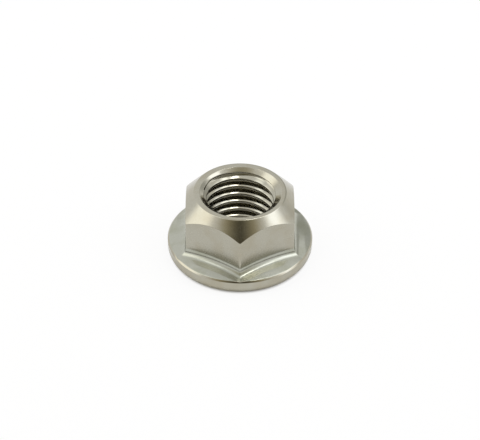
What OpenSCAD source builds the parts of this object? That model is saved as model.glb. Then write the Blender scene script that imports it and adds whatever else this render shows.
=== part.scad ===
// Exhaust manifold flange nut: one solid, thread axis on +Z, bearing face at z = 0.
// All sizes are in millimetres; one corner of the hexagon points to -Y.

/* [Thread] */
// Nominal diameter of the metric thread
thread_d = 10; // [8:0.5:11]
// Pitch of the thread, which sets the bore left for it
thread_pitch = 1.25; // [1:0.25:1.5]
// How far each countersink opens beyond the nominal thread, on the radius
countersink_over = 0.2; // [0.1:0.05:0.4]
// Half angle of the countersinks, measured from the thread axis
countersink_half_angle = 45; // [30:1:60]

/* [Hexagon] */
// Distance across the flats of the hexagon
across_flats = 14; // [13.5:0.1:14]
// Whole height, from the bearing face to the top of the lip
nut_height = 9.45; // [8.5:0.05:12]
// Metal taken off each sharp corner of the hexagon, on the radius
corner_trim = 0.13; // [0.12:0.01:0.25]
// Slope of the top chamfer, measured from level
chamfer_angle = 47; // [40:1:52]
// Radius where the top chamfer would meet the level top
chamfer_top_r = 5.95; // [5.9:0.05:6.3]
// Rounding between the level lip and the chamfer
lip_round = 0.3; // [0.3:0.05:0.4]

/* [Flange] */
// Outer diameter of the flange
flange_d = 19; // [19:0.1:22]
// Height of the upright part of the rim, roundings left out
rim_straight = 1; // [0.6:0.05:1.4]
// Rounding at the lower edge of the rim
rim_round_low = 0.75; // [0.4:0.05:0.9]
// Rounding at the upper edge of the rim
rim_round_high = 0.45; // [0.3:0.05:0.6]
// Fall of the flange's top from the hexagon to the rim
flange_slope = 19; // [16:1:22]
// Hollow rounding between each flat and the flange
root_fillet = 0.75; // [0.6:0.05:0.8]

/* [Hidden] */
$fn = 96;

// How far the hollow roundings sink below touching the flange, so that they cut it cleanly
fillet_sink = 0.02;
// Width of sloping flange between the rim's rounding and the farthest foot of a corner
foot_land = 0.05;
// Length that carries a cutting or joining shape clear past the face it works on
past = 1;

// Thread bore: the basic minor diameter lies this many pitches inside the nominal one
minor_pitches = 1.0825;
bore_r = (thread_d - minor_pitches * thread_pitch) / 2;
mouth_r = thread_d / 2 + countersink_over;
countersink_depth = (mouth_r - bore_r) / tan(countersink_half_angle);

// Flange rim, from the lower rounding up to where the slope leaves the upper rounding
flange_r = flange_d / 2;
rim_high_z = rim_round_low + rim_straight;
slope_start_r = flange_r - rim_round_high * (1 - sin(flange_slope));
slope_start_z = rim_high_z + rim_round_high * cos(flange_slope);
function slope_z(r) = slope_start_z + (slope_start_r - r) * tan(flange_slope);

// Hexagon: flats, trimmed corners
flat_r = across_flats / 2;
corner_r = flat_r / cos(30) - corner_trim;

// Hollow rounding of a flat: its centre runs on an arc that follows the fall of the slope
// from the middle of the flat to the corner
fillet_axis_r = flat_r + root_fillet;
fillet_corner_r = fillet_axis_r / cos(30);
fillet_lift = root_fillet / cos(flange_slope) - fillet_sink;
fillet_mid_z = slope_z(fillet_axis_r) + fillet_lift;
fillet_fall = slope_z(fillet_axis_r) - slope_z(fillet_corner_r);
fillet_half_run = fillet_axis_r * tan(30);
fillet_run_r = (pow(fillet_half_run, 2) + pow(fillet_fall, 2)) / (2 * fillet_fall);
fillet_foot = flat_r + root_fillet * (1 - sin(flange_slope));

// Trimmed corners run out in a cone at 45 degrees where the hollow roundings begin below them
corner_run_z = fillet_mid_z - fillet_fall;
corner_foot_r = slope_start_r - foot_land;
corner_foot_z = corner_run_z - (corner_foot_r - corner_r);

// Top chamfer, down to where it meets the trimmed corners
chamfer_corner_z = nut_height - (corner_r - chamfer_top_r) * tan(chamfer_angle);
lip_touch = lip_round * tan(chamfer_angle / 2);
hex_low_z = rim_round_low;

// Size of the pieces the flats are cut from
side_run = fillet_run_r + nut_height;
side_deep = flange_d;

// The flange: level bearing face, rounded rim and sloping top
module flange_blank() {
    rotate_extrude()
        union() {
            square([flange_r - rim_round_low, rim_high_z]);
            translate([0, rim_round_low])
                square([flange_r, rim_straight]);
            intersection() {
                translate([flange_r - rim_round_low, rim_round_low])
                    circle(r = rim_round_low);
                translate([flange_r - rim_round_low, 0])
                    square([rim_round_low, rim_round_low]);
            }
            polygon([
                [0, rim_high_z],
                [flange_r - rim_round_high, rim_high_z],
                [slope_start_r, slope_start_z],
                [flat_r - past, slope_z(flat_r - past)],
                [0, slope_z(flat_r - past)]
            ]);
            intersection() {
                translate([flange_r - rim_round_high, rim_high_z])
                    circle(r = rim_round_high);
                polygon([
                    [flange_r - rim_round_high, rim_high_z],
                    [flange_r + past, rim_high_z],
                    [slope_start_r + past * sin(flange_slope), slope_start_z + past * cos(flange_slope)]
                ]);
            }
        }
}

// Everything on the nut's side of one flat, flared outward at the foot
module flat_side() {
    translate([0, 0, fillet_mid_z - fillet_run_r])
        rotate([90, 0, 0])
            rotate_extrude()
                difference() {
                    translate([0, -side_deep])
                        square([side_run, side_deep + fillet_foot]);
                    translate([fillet_run_r, flat_r])
                        square([side_run, side_deep]);
                    translate([fillet_run_r, fillet_axis_r])
                        circle(r = root_fillet);
                }
}

// Solid of revolution that trims the corners, chamfers the top and opens out at the foot
module corner_envelope() {
    rotate_extrude()
        union() {
            polygon([
                [0, hex_low_z],
                [corner_foot_r, hex_low_z],
                [corner_foot_r, corner_foot_z],
                [corner_r, corner_run_z],
                [corner_r, chamfer_corner_z],
                [chamfer_top_r + lip_touch * cos(chamfer_angle), nut_height - lip_touch * sin(chamfer_angle)],
                [chamfer_top_r - lip_touch, nut_height - lip_round],
                [chamfer_top_r - lip_touch, nut_height],
                [0, nut_height]
            ]);
            intersection() {
                translate([chamfer_top_r - lip_touch, nut_height - lip_round])
                    circle(r = lip_round);
                polygon([
                    [chamfer_top_r - lip_touch, nut_height - lip_round],
                    [chamfer_top_r + lip_touch * cos(chamfer_angle), nut_height - lip_touch * sin(chamfer_angle)],
                    [chamfer_top_r + past, nut_height + past],
                    [chamfer_top_r - lip_touch, nut_height + past]
                ]);
            }
        }
}

// Hexagon with its flared foot: the envelope held between six flats at 60 degree steps
module hexagon() {
    intersection() {
        corner_envelope();
        rotate([0, 0, 30]) flat_side();
        rotate([0, 0, 90]) flat_side();
        rotate([0, 0, 150]) flat_side();
        rotate([0, 0, 210]) flat_side();
        rotate([0, 0, 270]) flat_side();
        rotate([0, 0, 330]) flat_side();
    }
}

// Bore at the thread's minor diameter with a countersink at each end
module thread_bore() {
    rotate_extrude()
        polygon([
            [0, -past],
            [mouth_r + past * tan(countersink_half_angle), -past],
            [bore_r, countersink_depth],
            [bore_r, nut_height - countersink_depth],
            [mouth_r + past * tan(countersink_half_angle), nut_height + past],
            [0, nut_height + past]
        ]);
}

// The nut as one solid
module flange_nut() {
    color([0.67, 0.66, 0.6])
        difference() {
            union() {
                flange_blank();
                hexagon();
            }
            thread_bore();
        }
}

flange_nut();
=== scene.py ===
"""Exhaust manifold flange nut: the visual piece with its thread, its finishes and a plain studio."""

import logging
import math
from dataclasses import dataclass
from enum import Enum
from typing import Any

import bpy
import numpy as np
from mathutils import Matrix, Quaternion, Vector


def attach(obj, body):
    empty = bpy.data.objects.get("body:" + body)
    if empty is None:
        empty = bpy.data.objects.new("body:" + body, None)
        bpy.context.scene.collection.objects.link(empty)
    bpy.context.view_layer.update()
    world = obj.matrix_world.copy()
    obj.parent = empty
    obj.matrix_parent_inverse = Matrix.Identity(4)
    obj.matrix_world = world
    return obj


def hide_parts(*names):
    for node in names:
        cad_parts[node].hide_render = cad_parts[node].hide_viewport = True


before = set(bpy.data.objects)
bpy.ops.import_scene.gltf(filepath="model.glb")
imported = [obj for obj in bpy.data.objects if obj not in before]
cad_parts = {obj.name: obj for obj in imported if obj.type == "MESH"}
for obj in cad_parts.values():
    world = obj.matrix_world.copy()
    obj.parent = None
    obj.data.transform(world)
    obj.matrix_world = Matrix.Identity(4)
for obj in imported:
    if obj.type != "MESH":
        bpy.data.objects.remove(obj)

LOG = logging.getLogger("flange_nut")
MILLIMETRE = 0.001
SIDES = 6
SIDE_ANGLE = 360.0 / SIDES
WHITE = (1.0, 1.0, 1.0, 1.0)

Colour = tuple[float, float, float]
Rows = np.ndarray


class Zone(Enum):
    """Parts of the surface that were worked differently, each with its own finish."""

    BEARING = 0
    RIM = 1
    FLANGE = 2
    FOOT = 3
    FLAT = 4
    CHAMFER = 5
    LIP = 6
    THREAD = 7


@dataclass(frozen=True)
class Section:
    """A run of rows along the nut's closed profile, one column per angle round the axis.

    Attributes:
        zone: Finish of the faces that end on these rows.
        radius: Distance of each point from the thread axis, in millimetres.
        height: Height of each point above the bearing face, in millimetres.
    """

    zone: Zone
    radius: Rows
    height: Rows


def steps(count: int) -> Rows:
    """Even steps from just after 0 up to 1.

    Args:
        count: Number of steps.

    Returns:
        A column of values that can be spread over the angles.
    """
    return np.linspace(0.0, 1.0, count + 1)[1:, None]


def eased(count: int) -> Rows:
    """Steps from just after 0 up to 1 that crowd together at both ends, beside the edges.

    Args:
        count: Number of steps.

    Returns:
        A column of values that can be spread over the angles.
    """
    return 0.5 - 0.5 * np.cos(math.pi * steps(count))


def blend_min(first: Rows, second: Rows, width: float) -> Rows:
    """The lower of two surfaces, rounded over where they cross.

    Args:
        first: One surface.
        second: The other surface.
        width: Difference between the two within which they blend.

    Returns:
        The rounded lower envelope.
    """
    share = np.clip(0.5 + 0.5 * (second - first) / width, 0.0, 1.0)
    return second + (first - second) * share - width * share * (1.0 - share)


def smooth_step(value: Rows) -> Rows:
    """An even change from 0 to 1 that starts and ends level.

    Args:
        value: Where to read it; below 0 gives 0 and above 1 gives 1.

    Returns:
        The eased share.
    """
    share = np.clip(value, 0.0, 1.0)
    return share * share * (3.0 - 2.0 * share)


def new_object(name: str, data: bpy.types.ID) -> bpy.types.Object:
    """Makes an object and links it into the scene.

    Args:
        name: Name of the object.
        data: Its mesh or camera.

    Returns:
        The new object.
    """
    made = bpy.data.objects.new(name, data)
    bpy.context.scene.collection.objects.link(made)
    return made


@dataclass(frozen=True)
class Flange:
    """The round flange: level underside, rounded and bevelled rim and sloping top.

    Sizes are in millimetres, angles in degrees from level; the rows set how finely a part is drawn.

    Attributes:
        radius: Outer radius.
        low_round: Rounding at the lower edge of the rim.
        bevel: Width of the bevel at the upper edge of the rim, on the radius.
        bevel_tilt: Fall of the bevel.
        bevel_blend: Difference in height within which bevel and sloping top blend.
        slope_z: Height where the sloping top leaves the bevel.
        slope: Fall of the sloping top.
        level_rows: Rows on the underside.
        round_rows: Rows on the rounding.
        wall_rows: Rows on the upright wall.
    """

    radius: float = 9.5
    low_round: float = 1.05
    bevel: float = 0.18
    bevel_tilt: float = 48.0
    bevel_blend: float = 0.02
    slope_z: float = 2.125
    slope: float = 23.0
    level_rows: int = 8
    round_rows: int = 9
    wall_rows: int = 5

    @property
    def wall_z(self) -> float:
        """Height where the rim's wall ends and its bevel begins."""
        return self.slope_z - self.bevel * math.tan(math.radians(self.bevel_tilt))

    @property
    def slope_r(self) -> float:
        """Radius where the sloping top leaves the bevel."""
        return self.radius - self.bevel

    def top(self, radius: Rows) -> Rows:
        """Height of the flange's top: a cone that runs out over a narrow bevel.

        Args:
            radius: Distances from the axis.

        Returns:
            Height of the top at those distances.
        """
        inward = self.slope_r - radius
        cone = self.slope_z + inward * math.tan(math.radians(self.slope))
        edge = self.slope_z + inward * math.tan(math.radians(self.bevel_tilt))
        return blend_min(cone, edge, self.bevel_blend)

    def rim(self, inner: float, columns: int) -> list[Section]:
        """Underside and rim: a level ring, a quarter circle and an upright wall, turned about the axis.

        Args:
            inner: Radius of the countersink's mouth in the underside.
            columns: Number of angles round the axis.

        Returns:
            The rows from the countersink out and up to the bevel.
        """
        spread = np.ones((1, columns))
        level_r = inner + (self.radius - self.low_round - inner) * eased(self.level_rows)
        turn = math.pi / 2 * steps(self.round_rows)
        round_r = self.radius - self.low_round * (1.0 - np.sin(turn))
        round_z = self.low_round * (1.0 - np.cos(turn))
        wall_z = self.low_round + (self.wall_z - self.low_round) * eased(self.wall_rows)
        return [
            Section(Zone.BEARING, level_r * spread, 0.0 * level_r * spread),
            Section(Zone.RIM, round_r * spread, round_z * spread),
            Section(Zone.RIM, self.radius * np.ones_like(wall_z) * spread, wall_z * spread),
        ]


@dataclass(frozen=True)
class Hexagon:
    """The hexagon with its chamfered top and the facets and hollow roundings at its foot.

    Sizes are in millimetres, angles in degrees from level; the rows set how finely a part is drawn.

    Attributes:
        flats: Distance across the flats.
        height: Whole height, from the bearing face to the lip.
        corner_trim: Metal taken off each sharp corner, on the radius.
        corner_blend: Difference in radius within which flat and corner blend.
        chamfer: Slope of the top chamfer.
        chamfer_top_r: Radius where the chamfer would meet the level top.
        lip_round: Rounding between chamfer and lip.
        fillet: Hollow rounding at the foot of each flat.
        facet_reach: Distance from the middle of a flat out to the crease where its facet ends.
        facet_slope: Fall of the facets.
        foot_arc_r: Radius of the arc on which the foot falls toward the corners.
        crease_blend: Difference in height within which facet and flange blend.
        crease_clear: Least distance of the crease's row from the bevel.
        trim_run: Height above the foot over which the corner trim sets in.
        edge_rows: Rows on the bevel.
        slope_rows: Rows on the flange's top.
        facet_rows: Rows on the facets.
        fillet_rows: Rows on the hollow roundings.
        wall_rows: Rows on the flats.
        cone_rows: Rows on the chamfer.
        lip_rows: Rows on the lip's rounding.
    """

    flats: float = 14.0
    height: float = 9.45
    corner_trim: float = 0.05
    corner_blend: float = 0.03
    chamfer: float = 47.0
    chamfer_top_r: float = 5.95
    lip_round: float = 0.3
    fillet: float = 1.0
    facet_reach: float = 1.5
    facet_slope: float = 12.0
    foot_arc_r: float = 21.5
    crease_blend: float = 0.02
    crease_clear: float = 0.02
    trim_run: float = 0.6
    edge_rows: int = 7
    slope_rows: int = 6
    facet_rows: int = 9
    fillet_rows: int = 11
    wall_rows: int = 16
    cone_rows: int = 11
    lip_rows: int = 6

    @property
    def flat_r(self) -> float:
        """Distance of each flat from the axis."""
        return self.flats / 2

    @property
    def lip_touch(self) -> float:
        """Distance from the lip's sharp edge to where its rounding begins."""
        return self.lip_round * math.tan(math.radians(self.chamfer / 2))

    def fall(self, across: Rows) -> Rows:
        """How far the foot has fallen beside the middle of a flat: a shallow arc.

        Args:
            across: Distance from the middle of the flat, along it.

        Returns:
            The fall at that distance.
        """
        return across**2 / (2.0 * self.foot_arc_r)

    def foot(self, flange: Flange, turn: Rows) -> list[Section]:
        """Flange top, facets and hollow roundings, from the rim up to the flats.

        The facet is a plane tilted outward from the flat and bent down along it on a shallow arc. The
        height is the lower of the turned cone and that facet; the rounding is a circle that touches
        the facet and the flat and is carried along the same arc.

        Args:
            flange: The flange that the hexagon stands on.
            turn: Angle of each column from the middle of its flat, in radians.

        Returns:
            The rows from the rim's bevel to the lower end of the flats.
        """
        tilt = math.radians(self.facet_slope)
        crease_r = self.flat_r + self.facet_reach
        crease_z = float(flange.top(np.array(crease_r)))
        centre_r = self.flat_r + self.fillet
        centre_z = crease_z + (crease_r - centre_r) * math.tan(tilt) + self.fillet / math.cos(tilt)
        touch_r = centre_r - self.fillet * math.sin(tilt)

        def lower(radius: Rows) -> Rows:
            """Height of the lower of flange and facet at these distances from the axis."""
            along = radius * np.cos(turn)
            facet = crease_z + (crease_r - along) * math.tan(tilt) - self.fall(radius * np.sin(turn))
            return blend_min(flange.top(radius), facet, self.crease_blend)

        edge_r = flange.radius - flange.bevel * eased(self.edge_rows) + 0.0 * turn
        crease_at = np.minimum(crease_r / np.cos(turn), flange.slope_r - self.crease_clear)
        slope_r = flange.slope_r + (crease_at - flange.slope_r) * eased(self.slope_rows)
        touch_at = touch_r / np.cos(turn)
        facet_r = crease_at + (touch_at - crease_at) * eased(self.facet_rows)
        arc = 3.0 * math.pi / 2 - tilt - (math.pi / 2 - tilt) * steps(self.fillet_rows)
        arc_x = centre_r + self.fillet * np.cos(arc)
        arc_z = centre_z + self.fillet * np.sin(arc) - self.fall(arc_x * np.tan(turn))
        return [
            Section(Zone.RIM, edge_r, lower(edge_r)),
            Section(Zone.FLANGE, slope_r, lower(slope_r)),
            Section(Zone.FOOT, facet_r, lower(facet_r)),
            Section(Zone.FOOT, arc_x / np.cos(turn), arc_z),
        ]

    def walls(self, foot_z: Rows, turn: Rows) -> list[Section]:
        """Flats, trimmed corners, chamfer and level lip.

        The wall is the nearer of the flat and the trimmed corner, rounded where they meet; it ends on
        the chamfer's cone, which runs up over a rounded edge to the level lip.

        Args:
            foot_z: Height where the flat begins, for each column.
            turn: Angle of each column from the middle of its flat, in radians.

        Returns:
            The rows from the foot of the flats to the rounding of the lip.
        """
        grade = math.tan(math.radians(self.chamfer))
        sharp_r = self.flat_r / np.cos(turn)
        corner_r = self.flat_r / math.cos(math.radians(SIDE_ANGLE / 2)) - self.corner_trim
        worn_r = blend_min(sharp_r, np.full_like(sharp_r, corner_r), self.corner_blend)
        edge_z = self.height - (worn_r - self.chamfer_top_r) * grade
        wall_z = foot_z + (edge_z - foot_z) * eased(self.wall_rows)
        trimmed = smooth_step((wall_z - foot_z) / self.trim_run)
        wall_r = sharp_r + (worn_r - sharp_r) * trimmed
        lip_low_r = self.chamfer_top_r + self.lip_touch * math.cos(math.radians(self.chamfer))
        cone_r = worn_r + (lip_low_r - worn_r) * eased(self.cone_rows)
        cone_z = self.height - (cone_r - self.chamfer_top_r) * grade
        lift = math.pi / 2 - math.radians(self.chamfer) * (1.0 - steps(self.lip_rows))
        round_r = self.chamfer_top_r - self.lip_touch + self.lip_round * np.cos(lift) + 0.0 * turn
        round_z = self.height - self.lip_round * (1.0 - np.sin(lift)) + 0.0 * turn
        return [
            Section(Zone.FLAT, wall_r, wall_z),
            Section(Zone.CHAMFER, cone_r, cone_z),
            Section(Zone.LIP, round_r, round_z),
        ]


@dataclass(frozen=True)
class Thread:
    """The right-hand internal thread with a countersink at each end.

    Sizes are in millimetres, angles in degrees; the rows set how finely a part is drawn.

    Attributes:
        pitch: Rise of the thread in one turn.
        crest_r: Radius of the crests.
        root_r: Radius of the bottom of the grooves.
        crest_z: Height of one crest at angle 0.
        crest_share: Width of a crest, as a share of the pitch.
        root_share: Width of a groove's bottom, as a share of the pitch.
        mouth_r: Radius of the mouth in the underside.
        top_mouth_r: Radius of the upper mouth.
        top_drift: Distance of the upper mouth's centre from the axis.
        top_drift_at: Angle round the axis toward which it lies.
        mouth_round: Rounding at the upper mouth.
        sink_half_angle: Half angle of the countersinks, from the axis.
        edge_width: Distance of a row from the edge of a groove's bottom, as a share of the pitch.
        crest_step: Distance between the rows at a crest's edge, as a share of the pitch.
        crest_side_rows: Rows on each side of a crest's edge.
        crest_blend: Wear of the crests' edges, as a share of the flank.
        run_in: Depths below an end where the grooves begin and where they are fully cut.
        lip_rows: Rows on the level lip.
        mouth_rows: Rows on the upper mouth's rounding.
        sink_rows: Rows on the upper countersink.
        low_rows: Rows on the lower countersink.
    """

    pitch: float = 1.25
    crest_r: float = 4.3234
    root_r: float = 5.0
    crest_z: float = 6.42
    crest_share: float = 0.25
    root_share: float = 0.125
    mouth_r: float = 5.2
    top_mouth_r: float = 5.32
    top_drift: float = 0.18
    top_drift_at: float = -53.0
    mouth_round: float = 0.1
    sink_half_angle: float = 49.0
    edge_width: float = 0.012
    crest_step: float = 0.018
    crest_side_rows: int = 2
    crest_blend: float = 0.09
    run_in: tuple[float, float] = (0.35, 0.65)
    lip_rows: int = 5
    mouth_rows: int = 6
    sink_rows: int = 3
    low_rows: int = 4

    @property
    def sink_grade(self) -> float:
        """How far a countersink narrows, on the radius, for each millimetre of depth."""
        return math.tan(math.radians(self.sink_half_angle))

    def top_mouth(self, angle: Rows) -> Rows:
        """Radius of the upper mouth, whose countersink was cut a little off the thread's axis.

        Args:
            angle: Angles round the axis, in radians.

        Returns:
            Distance of the mouth from the axis at those angles.
        """
        return self.top_mouth_r + self.top_drift * np.cos(angle - math.radians(self.top_drift_at))

    def phases(self) -> Rows:
        """Places of the rows within one turn, crowded at the edges of crest and groove.

        Returns:
            The places as shares of the pitch, measured from the middle of a crest.
        """
        beside = np.arange(-self.crest_side_rows, self.crest_side_rows + 1)
        crest = self.crest_share / 2 + self.crest_step * beside
        root = 0.5 - self.root_share / 2 + self.edge_width * np.array([-1, 1])
        half = np.concatenate([crest, [(crest[-1] + root[0]) / 2], root])
        return np.concatenate([[-0.5], -half[::-1], half])

    def radius(self, height: Rows, angle: Rows, top: float) -> Rows:
        """Radius of the wall: level crests and roots joined by even flanks, opened by the countersinks.

        The distance from the nearest crest, measured along the axis, sets the radius, and the edges
        of the crests are worn round; the grooves fade out close to the ends; each countersink is a
        cone, and the wider of cone and thread is the wall.

        Args:
            height: Heights above the bearing face.
            angle: Angles round the axis, in radians.
            top: Height of the top face.

        Returns:
            Radius of the wall at those heights and angles.
        """
        crest_at = self.crest_z + self.pitch * angle / (2.0 * math.pi)
        share = (height - crest_at) / self.pitch
        beside = np.abs(share - np.round(share))
        ramp = (beside - self.crest_share / 2) / (0.5 - (self.crest_share + self.root_share) / 2)
        worn = (ramp + np.sqrt(ramp**2 + self.crest_blend**2)) / 2
        depth = np.minimum(height, top - height)
        cut = np.interp(depth, self.run_in, (0.0, 1.0)) * np.minimum(worn, 1.0)
        turned = self.crest_r + (self.root_r - self.crest_r) * cut
        low_cone = self.mouth_r - height * self.sink_grade
        top_cone = self.top_mouth(angle) - (top - height) * self.sink_grade
        return np.maximum(turned, np.maximum(low_cone, top_cone))

    def wall(self, lip_r: float, top: float, angle: Rows) -> list[Section]:
        """Level lip, upper countersink, helical turns and lower countersink.

        The turns are rows that rise by one pitch in a full turn, so a row follows each edge of the
        thread; rows past an end lie on the ring where the countersink is wider than the thread.

        Args:
            lip_r: Outer radius of the level lip.
            top: Height of the top face.
            angle: Angle of each column, in radians.

        Returns:
            The rows from the lip down through the bore to the mouth in the underside.
        """
        spread = np.ones_like(angle)
        lean = math.radians(90.0 - self.sink_half_angle)
        mouth_touch = self.mouth_round * math.tan(lean / 2)
        mouth = self.top_mouth(angle)
        level_r = lip_r + (mouth + mouth_touch - lip_r) * eased(self.lip_rows)
        bend = lean * steps(self.mouth_rows)
        round_r = mouth + mouth_touch - self.mouth_round * np.sin(bend)
        round_z = top - self.mouth_round * (1.0 - np.cos(bend)) * spread
        end = (self.mouth_r - self.root_r) / self.sink_grade
        top_end = (mouth - self.root_r) / self.sink_grade
        sink_z = round_z[-1:] + (top - top_end - round_z[-1:]) * steps(self.sink_rows)
        turns = np.arange(-math.ceil(top / self.pitch), math.ceil(top / self.pitch) + 1)
        rows = self.crest_z + self.pitch * (turns[:, None] + self.phases()[None, :]).ravel()
        rows = np.sort(rows)[::-1]
        rows = rows[(rows > -1.5 * self.pitch) & (rows < top + self.pitch)]
        height = np.clip(rows[:, None] + self.pitch * angle / (2.0 * math.pi), end, top - top_end)
        low_z = end * (1.0 - steps(self.low_rows)) * spread
        return [
            Section(Zone.LIP, level_r, top * np.ones_like(level_r)),
            Section(Zone.LIP, round_r, round_z),
            Section(Zone.LIP, mouth - (top - sink_z) * self.sink_grade, sink_z),
            Section(Zone.THREAD, self.radius(height, angle, top), height),
            Section(Zone.LIP, self.mouth_r - low_z * self.sink_grade, low_z),
        ]


@dataclass(frozen=True)
class FlangeNut:
    """The whole nut as one closed surface over the angle round the axis and the run of its profile.

    Attributes:
        flange: The flange.
        hexagon: The hexagon.
        thread: The thread.
        side_steps: Columns from the middle of a flat to the zone beside a corner.
        corner_steps: Columns within that zone.
        corner_zone: Width of that zone, in degrees.
        weld: Size of the cells in which points count as one, in millimetres.
    """

    flange: Flange = Flange()
    hexagon: Hexagon = Hexagon()
    thread: Thread = Thread()
    side_steps: int = 22
    corner_steps: int = 9
    corner_zone: float = 3.2
    weld: float = 1e-5

    def angles(self) -> tuple[Rows, Rows]:
        """Angles of the columns, crowded at the corners of the hexagon.

        Returns:
            The angle round the axis and the angle from the middle of the nearest flat, in radians.
        """
        half = SIDE_ANGLE / 2
        inner = np.linspace(0.0, half - self.corner_zone, self.side_steps)
        outer = np.linspace(half - self.corner_zone, half, self.corner_steps)
        right = np.concatenate([inner, outer[1:]])
        side = np.concatenate([-right[:0:-1], right])[:-1]
        middles = SIDE_ANGLE * np.arange(SIDES)
        angle = np.append((middles[:, None] + side[None, :]).ravel(), 360.0 - half)
        turn = np.append(np.tile(side, SIDES), -half)
        return np.radians(angle)[None, :], np.radians(turn)[None, :]

    def sections(self, angle: Rows, turn: Rows) -> list[Section]:
        """The closed profile, from the mouth in the underside out, up, in and down through the bore.

        Args:
            angle: Angle of each column round the axis, in radians.
            turn: Angle of each column from the middle of its flat, in radians.

        Returns:
            The rows in order; the last row is the mouth from which the first one leaves.
        """
        foot = self.hexagon.foot(self.flange, turn)
        lip_r = self.hexagon.chamfer_top_r - self.hexagon.lip_touch
        return [
            *self.flange.rim(self.thread.mouth_r, angle.size),
            *foot,
            *self.hexagon.walls(foot[-1].height[-1:], turn),
            *self.thread.wall(lip_r, self.hexagon.height, angle),
        ]

    def mesh(self) -> tuple[Rows, Rows, Rows]:
        """Points, triangles and zones of the closed surface, with the seam and the ends welded.

        Returns:
            Points in metres, triangles as rows of point numbers, and each triangle's zone number.
        """
        angle, turn = self.angles()
        runs = self.sections(angle, turn)
        radius = np.concatenate([run.radius for run in runs])
        height = np.concatenate([run.height for run in runs])
        zones = np.concatenate([np.full(len(run.radius), run.zone.value) for run in runs])
        points = np.stack([radius * np.cos(angle), radius * np.sin(angle), height], axis=-1)
        count, columns = radius.shape
        cells = np.round(points.reshape(-1, 3) / self.weld).astype(np.int64)
        _, kept, number = np.unique(cells, axis=0, return_index=True, return_inverse=True)
        number = number.reshape(count, columns)
        low = np.roll(number, 1, axis=0)
        quads = np.stack([low[:, :-1], low[:, 1:], number[:, 1:], number[:, :-1]], axis=-1).reshape(-1, 4)
        face_zone = np.repeat(zones, columns - 1)
        triangles = np.concatenate([quads[:, [0, 1, 2]], quads[:, [0, 2, 3]]])
        face_zone = np.concatenate([face_zone, face_zone])
        first, second, third = triangles.T
        whole = (first != second) & (second != third) & (third != first)
        return points.reshape(-1, 3)[kept] * MILLIMETRE, triangles[whole], face_zone[whole]

    def build(self, finishes: dict[Zone, bpy.types.Material]) -> bpy.types.Object:
        """Makes the nut's object and dresses each zone in its finish.

        Args:
            finishes: The material of each zone.

        Returns:
            The object, at the origin and in metres.
        """
        points, triangles, zones = self.mesh()
        mesh = bpy.data.meshes.new("flange_nut_surface")
        mesh.from_pydata(points.tolist(), [], triangles.tolist())
        for zone in Zone:
            mesh.materials.append(finishes[zone])
        mesh.polygons.foreach_set("material_index", zones.astype(np.int32))
        mesh.polygons.foreach_set("use_smooth", np.ones(len(triangles), dtype=bool))
        mesh.update()
        return new_object("nut", mesh)


class Graph:
    """Short calls for a node tree: adds nodes with their settings and joins them."""

    def __init__(self, tree: bpy.types.NodeTree) -> None:
        """Keeps the tree.

        Args:
            tree: The tree that the nodes go into.
        """
        self.tree = tree

    def add(self, kind: str, inputs: dict[str | int, Any] | None = None, **settings: Any) -> bpy.types.Node:
        """Adds a node.

        Args:
            kind: Type of the node.
            inputs: Value of each input, or the output socket that is joined to it.
            **settings: Properties of the node itself.

        Returns:
            The new node.
        """
        node = self.tree.nodes.new(kind)
        for name, value in settings.items():
            setattr(node, name, value)
        for name, value in (inputs or {}).items():
            if isinstance(value, bpy.types.NodeSocket):
                self.tree.links.new(value, node.inputs[name])
            else:
                node.inputs[name].default_value = value
        return node

    def math(self, operation: str, first: Any, second: Any = 0.0) -> bpy.types.NodeSocket:
        """Adds a calculation with one or two values.

        Args:
            operation: Name of the calculation.
            first: First value or socket.
            second: Second value or socket.

        Returns:
            The result's socket.
        """
        return self.add("ShaderNodeMath", {0: first, 1: second}, operation=operation).outputs[0]

    def range(self, value: Any, old: tuple[float, float], new: tuple[float, float]) -> bpy.types.NodeSocket:
        """Maps a value from one range to another and holds it there.

        Args:
            value: The socket to map.
            old: Lowest and highest value that come in.
            new: What those two become.

        Returns:
            The mapped socket.
        """
        inputs = {0: value, 1: old[0], 2: old[1], 3: new[0], 4: new[1]}
        return self.add("ShaderNodeMapRange", inputs, clamp=True).outputs[0]

    def mix(self, share: Any, near: Any, far: Any) -> bpy.types.NodeSocket:
        """Mixes two colours.

        Args:
            share: Share of the far colour.
            near: Colour or socket at share 0.
            far: Colour or socket at share 1.

        Returns:
            The mixed colour's socket.
        """
        return self.add("ShaderNodeMix", {"Factor": share, 6: near, 7: far}, data_type="RGBA").outputs[2]


def fresh_material(name: str) -> tuple[bpy.types.Material, Graph]:
    """Makes a material without nodes.

    Args:
        name: Name of the material.

    Returns:
        The material and the graph that its nodes go into.
    """
    made = bpy.data.materials.new(name)
    made.use_nodes = True
    made.node_tree.nodes.clear()
    return made, Graph(made.node_tree)


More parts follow.
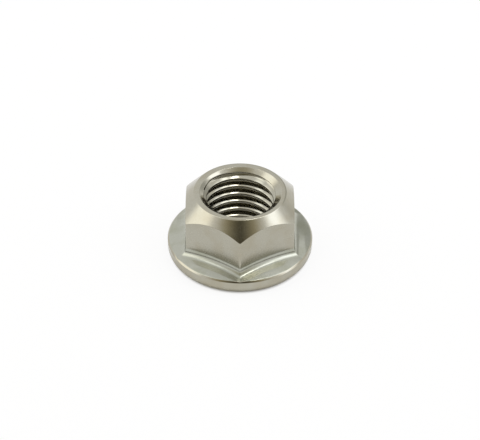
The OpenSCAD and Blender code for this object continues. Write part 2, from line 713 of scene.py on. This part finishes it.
class Marks:
    """The shared marks on the metal: turning rings, fine grain and faint stains."""

    NAME = "metal_marks"
    OUTPUTS = ("Rings", "Grain", "Stain")
    RING_SCALE = 9000.0
    RING_DETAIL = 3.0
    GRAIN_SCALE = 5200.0
    GRAIN_DETAIL = 4.0
    STAIN_SCALE = 420.0
    STAIN_DETAIL = 5.0
    STAIN_BAND = (0.42, 0.66)
    GRAIN_BAND = (0.3, 0.7)

    @classmethod
    def group(cls) -> bpy.types.ShaderNodeTree:
        """The node group with the marks, made once.

        Rings are a noise read along the distance from the axis; grain is a fine noise and stain a
        broad one, both read from the object's own coordinates.

        Returns:
            The group, with one value per mark between 0 and 1.
        """
        known = bpy.data.node_groups.get(cls.NAME)
        if known is not None:
            return known
        tree = bpy.data.node_groups.new(cls.NAME, "ShaderNodeTree")
        for name in cls.OUTPUTS:
            tree.interface.new_socket(name, in_out="OUTPUT", socket_type="NodeSocketFloat")
        graph = Graph(tree)
        place = graph.add("ShaderNodeTexCoord").outputs["Object"]
        across = {0: place, 1: (1.0, 1.0, 0.0)}
        flat = graph.add("ShaderNodeVectorMath", across, operation="MULTIPLY").outputs[0]
        radius = graph.add("ShaderNodeVectorMath", {0: flat}, operation="LENGTH").outputs["Value"]
        ringed = {"W": radius, "Scale": cls.RING_SCALE, "Detail": cls.RING_DETAIL}
        rings = graph.add("ShaderNodeTexNoise", ringed, noise_dimensions="1D").outputs[0]
        grained = {"Vector": place, "Scale": cls.GRAIN_SCALE, "Detail": cls.GRAIN_DETAIL}
        grain = graph.add("ShaderNodeTexNoise", grained).outputs[0]
        spotted = {"Vector": place, "Scale": cls.STAIN_SCALE, "Detail": cls.STAIN_DETAIL}
        stain = graph.add("ShaderNodeTexNoise", spotted).outputs[0]
        graph.add("NodeGroupOutput", {"Rings": rings, "Grain": grain, "Stain": stain})
        return tree


@dataclass(frozen=True)
class MetalFinish:
    """A plated steel surface: colour, sheen and how strongly each mark shows.

    Attributes:
        name: Name of the material.
        colour: Clean colour of the plating.
        stained: Colour where the plating is stained.
        rough: Sheen where the grain is lowest and highest.
        rings: Depth of the turning rings, in metres.
        grain: Depth of the fine grain, in metres.
    """

    name: str
    colour: Colour
    stained: Colour
    rough: tuple[float, float]
    rings: float
    grain: float

    def material(self) -> bpy.types.Material:
        """Makes the material.

        Returns:
            The finished material.
        """
        made, graph = fresh_material(self.name)
        marks = graph.add("ShaderNodeGroup", node_tree=Marks.group()).outputs
        share = graph.range(marks["Stain"], Marks.STAIN_BAND, (0.0, 1.0))
        tone = graph.mix(share, (*self.colour, 1.0), (*self.stained, 1.0))
        rough = graph.range(marks["Grain"], Marks.GRAIN_BAND, self.rough)
        ring_bump = graph.add(
            "ShaderNodeBump", {"Height": marks["Rings"], "Distance": self.rings, "Strength": 1.0}
        ).outputs[0]
        bump = graph.add(
            "ShaderNodeBump",
            {"Height": marks["Grain"], "Distance": self.grain, "Strength": 1.0, "Normal": ring_bump},
        ).outputs[0]
        shader = graph.add(
            "ShaderNodeBsdfPrincipled",
            {"Base Color": tone, "Metallic": 1.0, "Roughness": rough, "Normal": bump},
        )
        graph.add("ShaderNodeOutputMaterial", {"Surface": shader.outputs[0]})
        return made


def nut_finishes() -> dict[Zone, bpy.types.Material]:
    """The finish of each zone of the nut.

    Returns:
        One material per zone.
    """
    clean = (0.43, 0.415, 0.345)
    warm = (0.40, 0.375, 0.295)
    cool = (0.43, 0.435, 0.375)
    dull = (0.37, 0.375, 0.30)
    looks = {
        Zone.BEARING: MetalFinish("turned_underside", clean, warm, (0.3, 0.42), 4e-6, 1e-6),
        Zone.RIM: MetalFinish("rim", warm, clean, (0.07, 0.11), 0.0, 1e-7),
        Zone.FLANGE: MetalFinish("flange_top", cool, dull, (0.2, 0.26), 3e-7, 1e-7),
        Zone.FOOT: MetalFinish("foot", cool, dull, (0.18, 0.24), 0.0, 1e-7),
        Zone.FLAT: MetalFinish("flats", clean, warm, (0.22, 0.28), 0.0, 2e-7),
        Zone.CHAMFER: MetalFinish("turned_chamfer", clean, warm, (0.15, 0.2), 2e-7, 5e-8),
        Zone.LIP: MetalFinish("turned_lip", clean, warm, (0.14, 0.2), 6e-7, 5e-8),
        Zone.THREAD: MetalFinish("thread_turns", clean, warm, (0.1, 0.14), 0.0, 1e-7),
    }
    return {zone: look.material() for zone, look in looks.items()}


@dataclass(frozen=True)
class Card:
    """A flat card round the nut that shows in its reflections but not to the camera.

    Attributes:
        name: Name of the card.
        azimuth: Direction of its middle, in degrees from the front toward the right.
        elevation: Direction of its middle above the floor, in degrees.
        distance: Distance of its middle from the nut, in metres.
        reach: Half width and half height as seen from the nut, in degrees.
        colour: Colour of its light.
        strength: Level of its light in the middle; 1 is white.
        plain: Share of the card, from its middle, that is even; beyond it the light fades to the tent's.
        halfway: Light half way along that fade; without it, the mean of card and tent.
        roll: Turn of the card in its own plane, in degrees.
    """

    name: str
    azimuth: float
    elevation: float
    distance: float
    reach: tuple[float, float]
    colour: Colour
    strength: float
    plain: float = 0.5
    halfway: Colour | None = None
    roll: float = 0.0

    def build(self, centre: Vector) -> bpy.types.Object:
        """Makes the card, square to the line from the nut.

        Args:
            centre: Point that the card faces.

        Returns:
            The card's object.
        """
        wide, high = (self.distance * math.tan(math.radians(angle)) for angle in self.reach)
        mesh = bpy.data.meshes.new(self.name)
        corners = [(-wide, -high, 0.0), (wide, -high, 0.0), (wide, high, 0.0), (-wide, high, 0.0)]
        mesh.from_pydata(corners, [], [(0, 1, 2, 3)])
        made, graph = fresh_material(self.name)
        place = graph.add("ShaderNodeTexCoord").outputs["Object"]
        scaled = graph.add(
            "ShaderNodeVectorMath", {0: place, 1: (1.0 / wide, 1.0 / high, 0.0)}, operation="MULTIPLY"
        ).outputs[0]
        out = graph.add("ShaderNodeVectorMath", {0: scaled}, operation="LENGTH").outputs["Value"]
        lit = tuple(self.strength * part for part in self.colour)
        share = graph.range(out, (self.plain, 1.0), (0.0, 1.0))
        between = self.halfway or tuple((part + 1.0) / 2 for part in lit)
        inner = graph.mix(graph.range(share, (0.0, 0.5), (0.0, 1.0)), (*lit, 1.0), (*between, 1.0))
        tone = graph.mix(graph.range(share, (0.5, 1.0), (0.0, 1.0)), inner, WHITE)
        light = graph.add("ShaderNodeEmission", {"Color": tone, "Strength": 1.0})
        graph.add("ShaderNodeOutputMaterial", {"Surface": light.outputs[0]})
        mesh.materials.append(made)
        card = new_object(self.name, mesh)
        away = direction(self.azimuth, self.elevation)
        card.location = centre + away * self.distance
        turned = Quaternion((0.0, 0.0, 1.0), math.radians(self.roll))
        card.rotation_euler = (away.to_track_quat("Z", "Y") @ turned).to_euler()
        card.visible_camera = False
        return card


def direction(azimuth: float, elevation: float) -> Vector:
    """Unit vector away from the nut.

    Args:
        azimuth: Degrees from the front toward the right.
        elevation: Degrees above the floor.

    Returns:
        The direction.
    """
    side, rise = math.radians(azimuth), math.radians(elevation)
    return Vector((math.sin(side) * math.cos(rise), -math.cos(side) * math.cos(rise), math.sin(rise)))


@dataclass(frozen=True)
class Studio:
    """A pale floor under a white tent, with cards beside, behind, above and in front of the nut.

    Lengths are in metres, angles in degrees.

    Attributes:
        centre: Point round which camera and cards stand.
        view_elevation: Angle of the camera above the floor.
        view_distance: Distance of the camera from the centre.
        view_lift: How far above the centre the camera aims, across its line of sight.
        lens: Focal length of the camera, in millimetres.
        clip: Nearest and farthest distance that the camera sees.
        floor_drop: Gap between the bearing face and the floor.
        floor_half: Half the floor's side.
        floor_colour: Colour of the floor's paper.
        floor_white: Share of plain white in the open floor, to the camera and in reflections.
        floor_seen_r: Distances from the axis where that white begins and is full, to the camera.
        floor_mirrored_r: The same two distances in reflections.
        tent_colour: Colour of the tent.
        tent_level: Strength of the tent's light.
        cards: The cards.
    """

    centre: Vector = Vector((0.0, 0.0, 0.004))
    view_elevation: float = 38.9
    view_distance: float = 0.22
    view_lift: float = 0.00051
    lens: float = 126.2
    clip: tuple[float, float] = (0.01, 20.0)
    floor_drop: float = 0.00001
    floor_half: float = 3.0
    floor_colour: Colour = (0.95, 0.95, 0.95)
    floor_white: float = 0.88
    floor_seen_r: tuple[float, float] = (0.0088, 0.0093)
    floor_mirrored_r: tuple[float, float] = (0.0096, 0.0108)
    tent_colour: Colour = (1.0, 1.0, 1.0)
    tent_level: float = 1.0
    cards: tuple[Card, ...] = (
        Card("right_softbox", 86.0, 40.0, 0.6, (22.0, 20.0), (0.97, 0.99, 1.05), 2.5, 0.5),
        Card("left_softbox", -92.0, 32.0, 0.6, (27.0, 24.0), (1.0, 0.99, 0.96), 2.0, 0.5),
        Card("dark_front", 0.0, 44.0, 0.3, (42.0, 30.0), (1.0, 0.9, 0.6), 0.03, 0.04, (0.48, 0.43, 0.3)),
        Card("back_wall", 152.0, 24.0, 0.7, (44.0, 18.0), (1.0, 1.0, 0.97), 0.6, 0.6),
        Card("ceiling", 180.0, 78.0, 0.7, (30.0, 20.0), (1.0, 1.0, 0.98), 0.8),
        Card("strip_lamp", 57.0, 73.0, 0.25, (3.4, 9.0), (1.0, 1.0, 1.0), 8.0, 0.7, None, 33.0),
        Card("right_upper", 80.0, 60.0, 0.55, (14.0, 10.0), (0.98, 1.0, 1.02), 2.9, 0.4),
        Card("left_upper", -78.0, 60.0, 0.55, (14.0, 10.0), (0.98, 1.0, 1.0), 2.1, 0.4),
        Card("left_horizon", -52.0, 7.0, 0.55, (34.0, 9.0), (1.0, 0.97, 0.9), 0.3, 0.5),
        Card("right_horizon", 52.0, 7.0, 0.55, (34.0, 9.0), (1.0, 0.97, 0.9), 0.3, 0.5),
    )

    def floor(self) -> bpy.types.Object:
        """Makes the floor, a plain square just under the bearing face.

        Returns:
            The floor's object.
        """
        half, under = self.floor_half, -self.floor_drop
        corners = [(-half, -half, under), (half, -half, under), (half, half, under), (-half, half, under)]
        mesh = bpy.data.meshes.new("floor")
        mesh.from_pydata(corners, [], [(0, 1, 2, 3)])
        made, graph = fresh_material("floor_paper")
        paper = graph.add("ShaderNodeBsdfDiffuse", {"Color": (*self.floor_colour, 1.0)})
        white = graph.add("ShaderNodeEmission", {"Color": WHITE, "Strength": 1.0})
        rays = graph.add("ShaderNodeLightPath").outputs
        mirrored = graph.math("MAXIMUM", rays["Is Glossy Ray"], rays["Is Transmission Ray"])
        place = graph.add("ShaderNodeTexCoord").outputs["Object"]
        out = graph.add("ShaderNodeVectorMath", {0: place}, operation="LENGTH").outputs["Value"]
        level = (0.0, self.floor_white)
        seen = graph.math("MULTIPLY", rays["Is Camera Ray"], graph.range(out, self.floor_seen_r, level))
        mirrored = graph.math("MULTIPLY", mirrored, graph.range(out, self.floor_mirrored_r, level))
        share = graph.math("MAXIMUM", seen, mirrored)
        mixed = graph.add("ShaderNodeMixShader", {0: share, 1: paper.outputs[0], 2: white.outputs[0]})
        graph.add("ShaderNodeOutputMaterial", {"Surface": mixed.outputs[0]})
        mesh.materials.append(made)
        plane = new_object("floor", mesh)
        return plane

    def tent(self) -> None:
        """Makes the world an even white."""
        world = bpy.data.worlds.new("tent")
        world.use_nodes = True
        world.node_tree.nodes.clear()
        graph = Graph(world.node_tree)
        even = {"Color": (*self.tent_colour, 1.0), "Strength": self.tent_level}
        light = graph.add("ShaderNodeBackground", even)
        graph.add("ShaderNodeOutputWorld", {"Surface": light.outputs[0]})
        bpy.context.scene.world = world

    def camera(self) -> bpy.types.Object:
        """Makes the camera at the photo's angle.

        Returns:
            The camera's object.
        """
        data = bpy.data.cameras.new("camera")
        data.lens = self.lens
        data.clip_start, data.clip_end = self.clip
        camera = new_object("camera", data)
        away = direction(0.0, self.view_elevation)
        upward = direction(180.0, 90.0 - self.view_elevation)
        camera.location = self.centre + away * self.view_distance
        aim = self.centre + upward * self.view_lift - camera.location
        camera.rotation_euler = aim.to_track_quat("-Z", "Y").to_euler()
        bpy.context.scene.camera = camera
        return camera

    def build(self) -> None:
        """Makes floor, tent, cards and camera."""
        self.floor()
        self.tent()
        for card in self.cards:
            card.build(self.centre)
        self.camera()
        bpy.context.scene.view_settings.view_transform = "Standard"


def main() -> None:
    """Builds the nut and its studio and notes the nut's points and triangles."""
    logging.basicConfig(level=logging.INFO, format="%(name)s: %(message)s")
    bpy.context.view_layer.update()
    piece = FlangeNut().build(nut_finishes())
    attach(piece, "root")
    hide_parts("flange_nut")
    LOG.info("%s: %d points, %d triangles", piece.name, len(piece.data.vertices), len(piece.data.polygons))
    Studio().build()
    bpy.context.view_layer.update()


if __name__ == "__main__":
    main()
